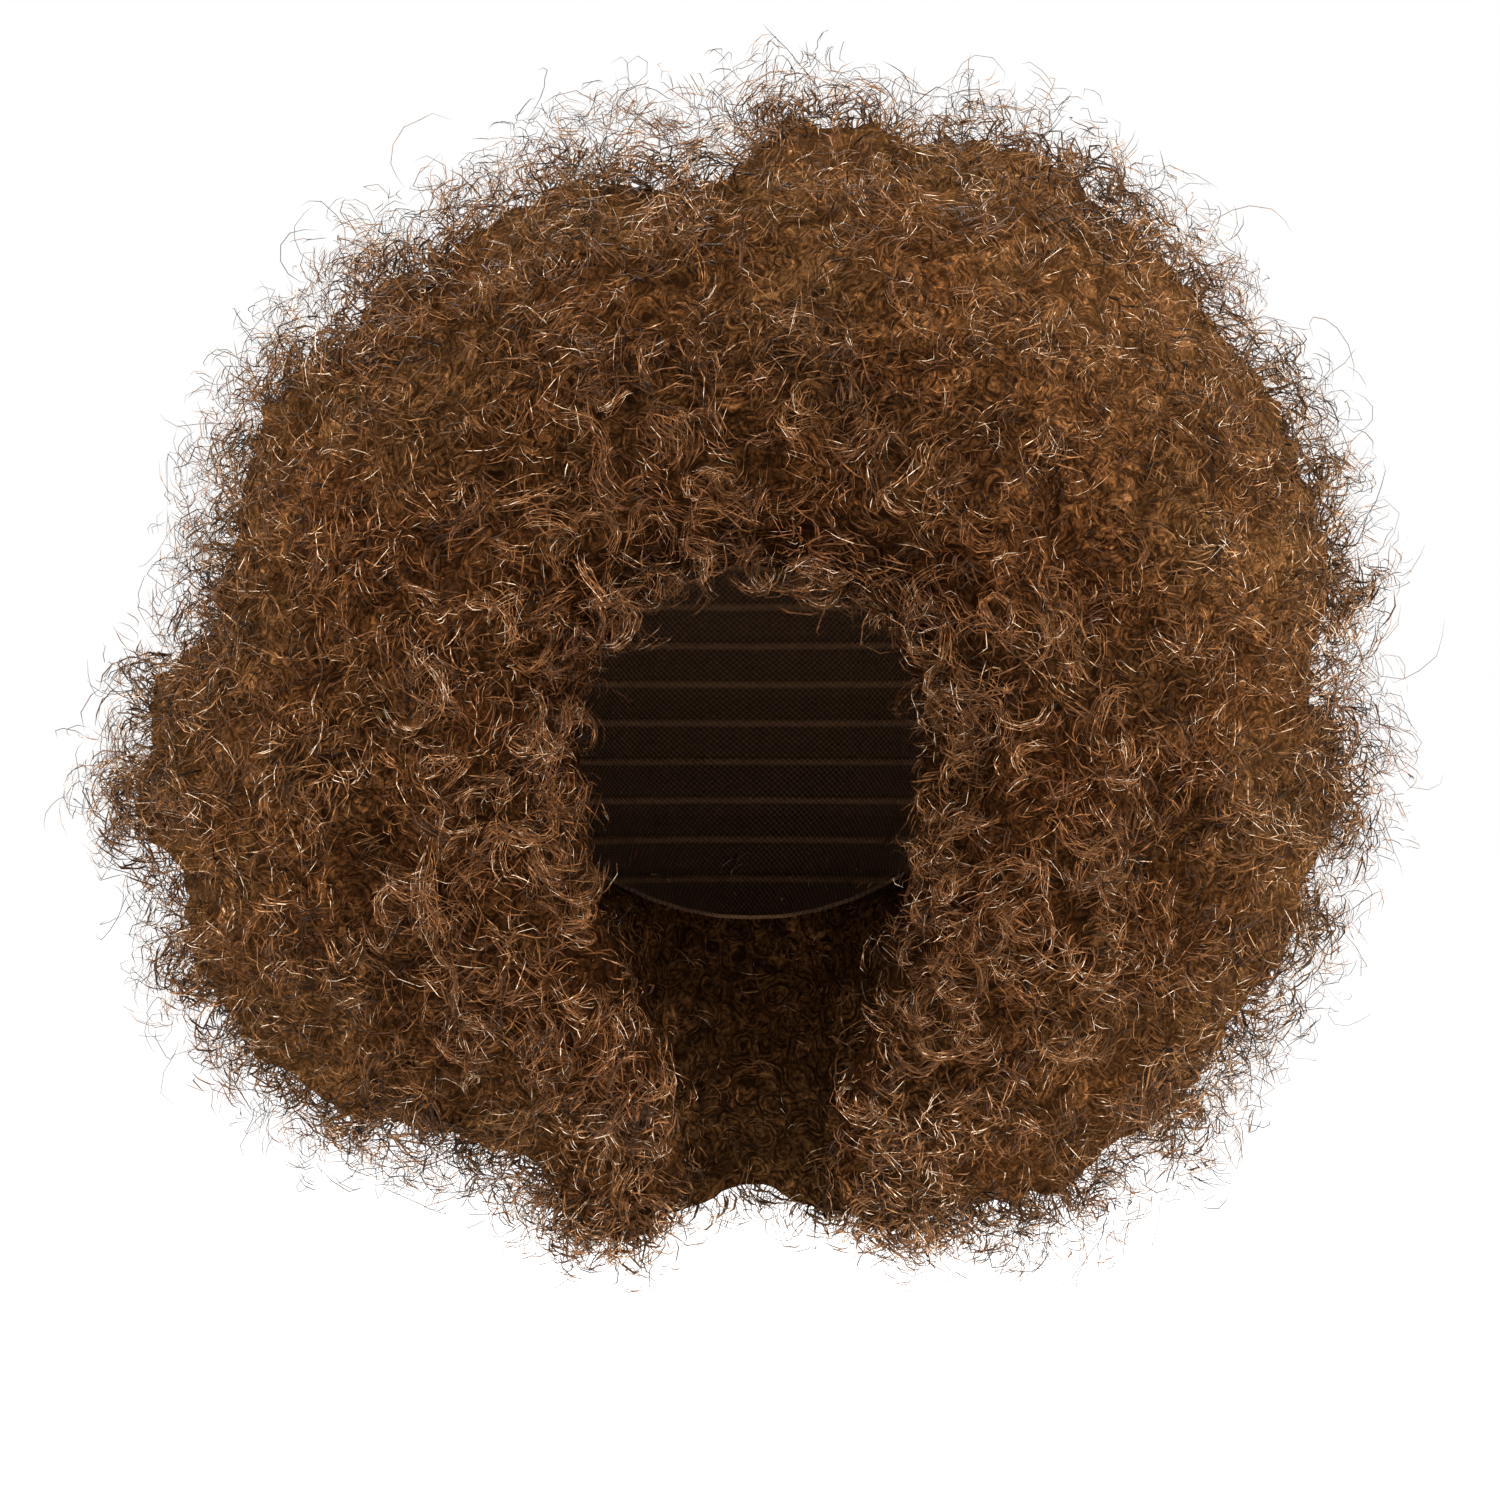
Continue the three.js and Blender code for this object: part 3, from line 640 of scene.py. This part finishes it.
# The frizz: single fibres that the comb has pulled loose all over the outline, each a thin open
# spring. Light shows through them, so the edge of the wig is a haze and not a line.
frizz_sizes = {
    "Curls per Square Metre": 10500.0,
    "Fibres per Curl": 2,
    "Bundle Width": 0.003,
    "Smallest Radius": 0.0030,
    "Largest Radius": 0.0065,
    "Turns": 0.42,
    "Segments": 4,
    "Stretch": 1.0,
    "Beyond Outline": 0.006,
    "Crowding": 0.7,
    "Facing Out": 0.5,
    "Fibre Radius": 0.00014,
    "Frizz": 0.008,
    # Painted shade: the loose fibres get a darker tone than the curls and fewer painted glints, as of fibres seen
    # against the light.
    "Darkest": -0.1,
    "Lightest": 0.25,
    "Painted Glint": 0.25,
}
for seed, (name, inside) in enumerate([
    ("frizz_top", in_crown | in_front),
    ("frizz_back", in_back | in_nape),
    ("frizz_right", in_side & ~on_left),
    ("frizz_left", in_side & on_left),
]):
    curled_piece(name, open_hair * (1 - 0.7 * face_share) * inside, {**frizz_sizes, "Seed": 200 + 10 * seed})


# The hair at the edge of the face and inside the nape: fibres that lie flat against the head, with
# a few loose curls that hang over the forehead and the temples.
lying_flat = (from_head < 0.02) & (from_head > 0.0005) & (outline[:, 1] > -0.115)
under_cap = outline[:, 2] > -0.050 - 0.6 * (outline[:, 1] + 0.085)
flat_share = lying_flat & ~under_cap
curled_piece("ringlets", open_hair * face_share, {
    **curl_sizes,
    "Curls per Square Metre": 6500.0,
    "Fibres per Curl": 10,
    "Bundle Width": 0.0010,
    "Smallest Radius": 0.0045,
    "Largest Radius": 0.0085,
    "Turns": 0.65,
    "Segments": 5,
    "Stretch": 1.4,
    "Beyond Outline": 0.003,
    "Crowding": 0.6,
    "Facing Out": 0.6,
    "Fibre Radius": 0.00010,
    "Frizz": 0.003,
    "Darkest": 0.3,
    "Lightest": 0.6,
    "Painted Glint": 0.5,
    "Seed": 500,
})
curled_piece("flyaways", open_hair, {
    **curl_sizes,
    "Curls per Square Metre": 1500.0,
    "Fibres per Curl": 1,
    "Smallest Radius": 0.004,
    "Largest Radius": 0.010,
    "Turns": 0.8,
    "Segments": 7,
    "Stretch": 0.8,
    "Beyond Outline": 0.010,
    "Crowding": 0.3,
    "Facing Out": 0.2,
    "Fibre Radius": 0.00012,
    "Darkest": 0.0,
    "Lightest": 0.4,
    "Painted Glint": 0.3,
    "Seed": 600,
})
by_the_neck = 1 - smooth_step(0.05, 0.09, np.abs(outline[:, 0]))
curled_piece("hem_curls", under_hem * (0.15 + 2.2 * by_the_neck), {
    **curl_sizes,
    "Curls per Square Metre": 15000.0,
    "Smallest Radius": 0.003,
    "Largest Radius": 0.007,
    "Beyond Outline": 0.004,
    "Crowding": 1.3,
    "Facing Out": 0.3,
    "Fibre Radius": 0.00022,
    "Seed": 700,
})
curled_piece("hairline", flat_share.astype(float), {
    **curl_sizes,
    "Curls per Square Metre": 9000.0,
    "Fibres per Curl": 4,
    "Smallest Radius": 0.003,
    "Largest Radius": 0.006,
    "Beyond Outline": 0.003,
    "Facing Out": 1.6,
    "Frizz": 0.002,
    "Seed": 400,
})


# The studio: a white room with a pale floor, a soft key light from the front and weaker ones from
# the left and from behind. The camera looks level at the wig through a long lens.
camera_data = bpy.data.cameras.new("camera")
camera_data.sensor_width = 36
camera_data.lens = 120
camera_data.clip_end = 40
camera = linked_object("camera", camera_data)
camera.location = (-0.0006, -1.6, -0.110)
camera.rotation_euler = (math.radians(90), 0, 0)
bpy.context.scene.camera = camera
bpy.context.scene.view_settings.view_transform = "Standard"

room = bpy.data.worlds.new("white room")
room.use_nodes = True
tree = room.node_tree
white = tree.nodes["Background"]
white.inputs["Color"].default_value = (1, 1, 1, 1)
white.inputs["Strength"].default_value = 1.0
dim = place(tree, "ShaderNodeBackground", {"Color": (1, 1, 1, 1), "Strength": 0.5})
seen = place(tree, "ShaderNodeLightPath").outputs["Is Camera Ray"]
walls = place(tree, "ShaderNodeMixShader", {0: seen, 1: dim.outputs[0], 2: white.outputs[0]})
tree.links.new(walls.outputs[0], tree.nodes["World Output"].inputs["Surface"])
bpy.context.scene.world = room

for name, spot, width, power in [
    ("key light", (0.6, -1.6, 1.2), 0.6, 62),
    ("fill light", (-1.3, -1.4, 0.1), 0.7, 30),
    ("rim light", (-0.2, 1.3, 1.3), 0.8, 26),
    ("side light", (1.5, -0.8, -0.3), 0.7, 32),
]:
    lamp = bpy.data.lights.new(name, "AREA")
    lamp.size = width
    lamp.energy = power
    light = linked_object(name, lamp)
    light.location = spot
    light.rotation_euler = (Vector(spot) - Vector((0, 0, -0.1))).to_track_quat("Z", "Y").to_euler()

floor_drop = 0.46
floor_radius = 12.0
shape = bmesh.new()
bmesh.ops.create_circle(
    shape, cap_ends=True, segments=96, radius=floor_radius, matrix=Matrix.Translation((0, 0, -floor_drop)),
)
floor_mesh = bpy.data.meshes.new("floor")
shape.to_mesh(floor_mesh)
shape.free()
pale_floor, tree, shader = shaded("pale floor")
shader.inputs["Base Color"].default_value = (0.93, 0.93, 0.93, 1)
shader.inputs["Roughness"].default_value = 0.7
shader.inputs["Emission Color"].default_value = (1, 1, 1, 1)
seen = place(tree, "ShaderNodeLightPath").outputs["Is Camera Ray"]
tree.links.new(maths(tree, "MULTIPLY", seen, 0.6), shader.inputs["Emission Strength"])
floor_mesh.materials.append(pale_floor)
linked_object("floor", floor_mesh)
